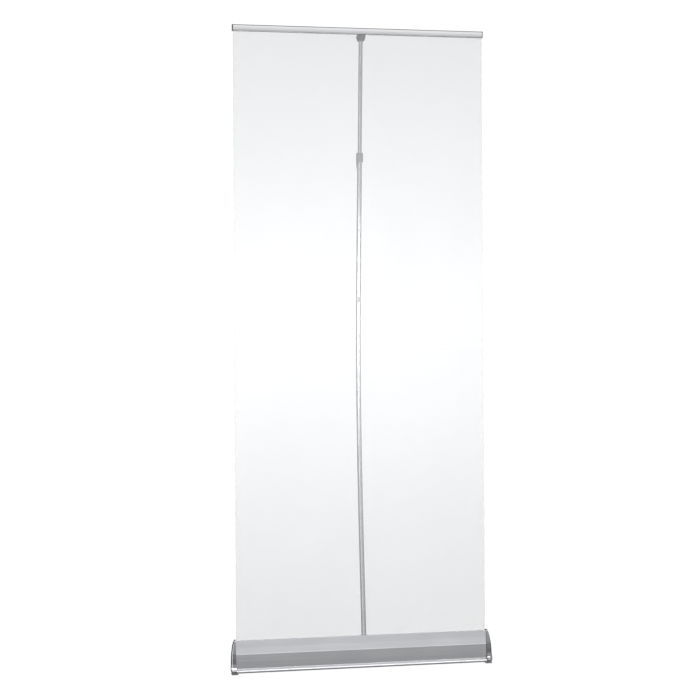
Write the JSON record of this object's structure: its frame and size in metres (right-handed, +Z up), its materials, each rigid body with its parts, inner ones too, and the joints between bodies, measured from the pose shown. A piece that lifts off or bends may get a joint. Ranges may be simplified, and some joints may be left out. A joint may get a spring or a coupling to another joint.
{
  "type": "roll-up banner stand",
  "caption": "Free-standing roll-up banner stand: low aluminium base with a sprung roller, a tall translucent sheet, a top rail and a telescopic pole behind it.",
  "frame": {"origin": "the middle of the whole object's box, on the floor", "axes": "+Z up; X along the base, with +X to the right of someone who faces the banner; the printed face looks to -Y"},
  "size_m": [0.8932, 0.1346, 2.1307],
  "materials": {
    "base_anodised": "satin anodised extrusion",
    "rail_anodised": "satin anodised extrusion",
    "tube_aluminium": "drawn tube, satin",
    "cap_chrome": "bright plated moulding",
    "zinc_steel": "zinc plated",
    "grey_plastic": "moulded, fine texture",
    "dark_plastic": "moulded",
    "pad_rubber": "moulded pad",
    "banner_film": "thin translucent white polymer film"
  },
  "bodies": {
    "base": {"base_extrusion": "base_anodised", "end_cap_left": "cap_chrome", "end_cap_right": "cap_chrome", "end_plate_left": "zinc_steel", "end_plate_right": "zinc_steel", "plate_screw_left_1": "zinc_steel", "plate_screw_left_2": "zinc_steel", "plate_screw_left_3": "zinc_steel", "plate_screw_right_1": "zinc_steel", "plate_screw_right_2": "zinc_steel", "plate_screw_right_3": "zinc_steel", "foot_front_left": "pad_rubber", "foot_front_right": "pad_rubber", "foot_rear_left": "pad_rubber", "foot_rear_right": "pad_rubber", "pole_socket": "dark_plastic", "spring_arbor": "zinc_steel", "torsion_spring": "zinc_steel", "pole_foot_plug": "dark_plastic", "pole_lower_section": "tube_aluminium", "pole_spigot": "tube_aluminium", "pole_middle_section": "tube_aluminium", "pole_collar": "grey_plastic", "lever_pin": "zinc_steel", "banner_sheet": "banner_film"},
    "roller": {"roller_tube": "tube_aluminium", "leader_wrap": "banner_film", "roller_idle_plug": "dark_plastic", "arbor_bush": "dark_plastic", "spring_drive_plug": "dark_plastic"},
    "rail": {"rail_back": "rail_anodised", "rail_plug_left": "dark_plastic", "rail_plug_right": "dark_plastic"},
    "jaw": {"rail_jaw": "rail_anodised"},
    "pole_top": {"pole_upper_section": "tube_aluminium", "pole_guide_bush": "dark_plastic", "pole_head": "grey_plastic"},
    "lever": {"clamp_lever": "grey_plastic"}
  },
  "joints": [
    {"name": "rail_slide", "type": "slide", "parent": "base", "child": "rail", "axis": [0, 0.02, 0.9998], "range_m": [-1.99, 0], "deforming": ["banner_sheet"]},
    {"name": "roller_spin", "type": "hinge", "parent": "base", "child": "roller", "pos_m": [0, -0.02402, 0.029], "axis": [1, 0, 0], "range_deg": [0, 6700]},
    {"name": "jaw_open", "type": "hinge", "parent": "rail", "child": "jaw", "pos_m": [0, 0.00058, 2.1267], "axis": [-1, 0, 0], "range_deg": [0, 48]},
    {"name": "pole_extend", "type": "slide", "parent": "base", "child": "pole_top", "axis": [0, -0.044, 0.999], "range_m": [-0.36, 0]},
    {"name": "lever_turn", "type": "hinge", "parent": "base", "child": "lever", "pos_m": [0.01, 0.05318, 1.70405], "axis": [1, 0, 0], "range_deg": [0, 100]}
  ],
  "couplings": [
    {"joint": "roller_spin", "follows": "rail_slide", "rad_per_m": -57.637}
  ]
}
